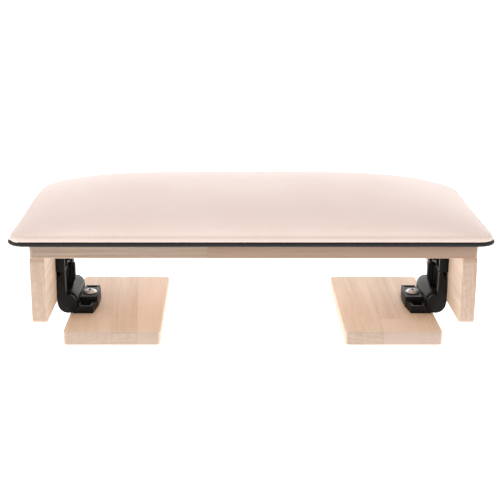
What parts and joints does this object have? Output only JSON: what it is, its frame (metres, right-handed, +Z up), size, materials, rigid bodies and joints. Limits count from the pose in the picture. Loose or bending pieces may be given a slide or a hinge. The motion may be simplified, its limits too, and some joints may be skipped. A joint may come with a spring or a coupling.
{
  "type": "wrist rest",
  "caption": "Padded leather-look wrist rest: crowned cushion with piping on a wooden board, end panels and folding wooden feet on black locking hinges.",
  "frame": {"origin": "on the table, under the centre of the cushion's plan", "axes": "+X along the cushion to the right, +Y from its front to its back, +Z up"},
  "size_m": [0.4, 0.198, 0.1285],
  "materials": {
    "beech": "fine sanded pale hardwood, clear satin",
    "dowel_wood": "raw turned hardwood",
    "leather": "smooth soft leather-look, pale blush",
    "piping": "black satin cord piping",
    "foam": "open cell foam",
    "base_board": "dark hardboard",
    "black_plastic": "moulded black plastic, satin",
    "nickel": "bright nickel plating",
    "steel": "plain steel"
  },
  "bodies": {
    "rest_frame": {"top_board": "beech", "left_end_panel": "beech", "right_end_panel": "beech", "cushion_base_board": "base_board", "cushion_foam": "foam", "cushion_cover": "leather", "cushion_piping": "piping", "cushion_screw_front_left": "steel", "cushion_screw_front_right": "steel", "cushion_screw_rear_left": "steel", "cushion_screw_rear_right": "steel", "left_dowel_front": "dowel_wood", "left_dowel_middle": "dowel_wood", "left_dowel_rear": "dowel_wood", "left_hinge_bracket": "black_plastic", "left_hinge_pin": "steel", "left_lever_pin": "steel", "left_lever_spring": "steel", "left_bracket_screw": "nickel", "right_dowel_front": "dowel_wood", "right_dowel_middle": "dowel_wood", "right_dowel_rear": "dowel_wood", "right_hinge_bracket": "black_plastic", "right_hinge_pin": "steel", "right_lever_pin": "steel", "right_lever_spring": "steel", "right_bracket_screw": "nickel"},
    "left_foot": {"left_foot_plate": "beech", "left_hinge_leaf": "black_plastic", "left_foot_screw": "nickel"},
    "right_foot": {"right_foot_plate": "beech", "right_hinge_leaf": "black_plastic", "right_foot_screw": "nickel"},
    "left_lever": {"left_release_lever": "black_plastic"},
    "right_lever": {"right_release_lever": "black_plastic"}
  },
  "joints": [
    {"name": "left_foot_fold", "type": "hinge", "parent": "rest_frame", "child": "left_foot", "pos_m": [-0.1639, 0, 0.0215], "axis": [0, 1, 0], "range_deg": [0, 90]},
    {"name": "right_foot_fold", "type": "hinge", "parent": "rest_frame", "child": "right_foot", "pos_m": [0.1639, 0, 0.0215], "axis": [0, -1, 0], "range_deg": [0, 90]},
    {"name": "left_lever_press", "type": "hinge", "parent": "rest_frame", "child": "left_lever", "pos_m": [-0.1691, 0, 0.037], "axis": [0, -1, 0], "range_deg": [0, 10], "stiffness_Nm_per_rad": 0.1, "deforming": ["left_lever_spring"]},
    {"name": "right_lever_press", "type": "hinge", "parent": "rest_frame", "child": "right_lever", "pos_m": [0.1691, 0, 0.037], "axis": [0, 1, 0], "range_deg": [0, 10], "stiffness_Nm_per_rad": 0.1, "deforming": ["right_lever_spring"]}
  ]
}
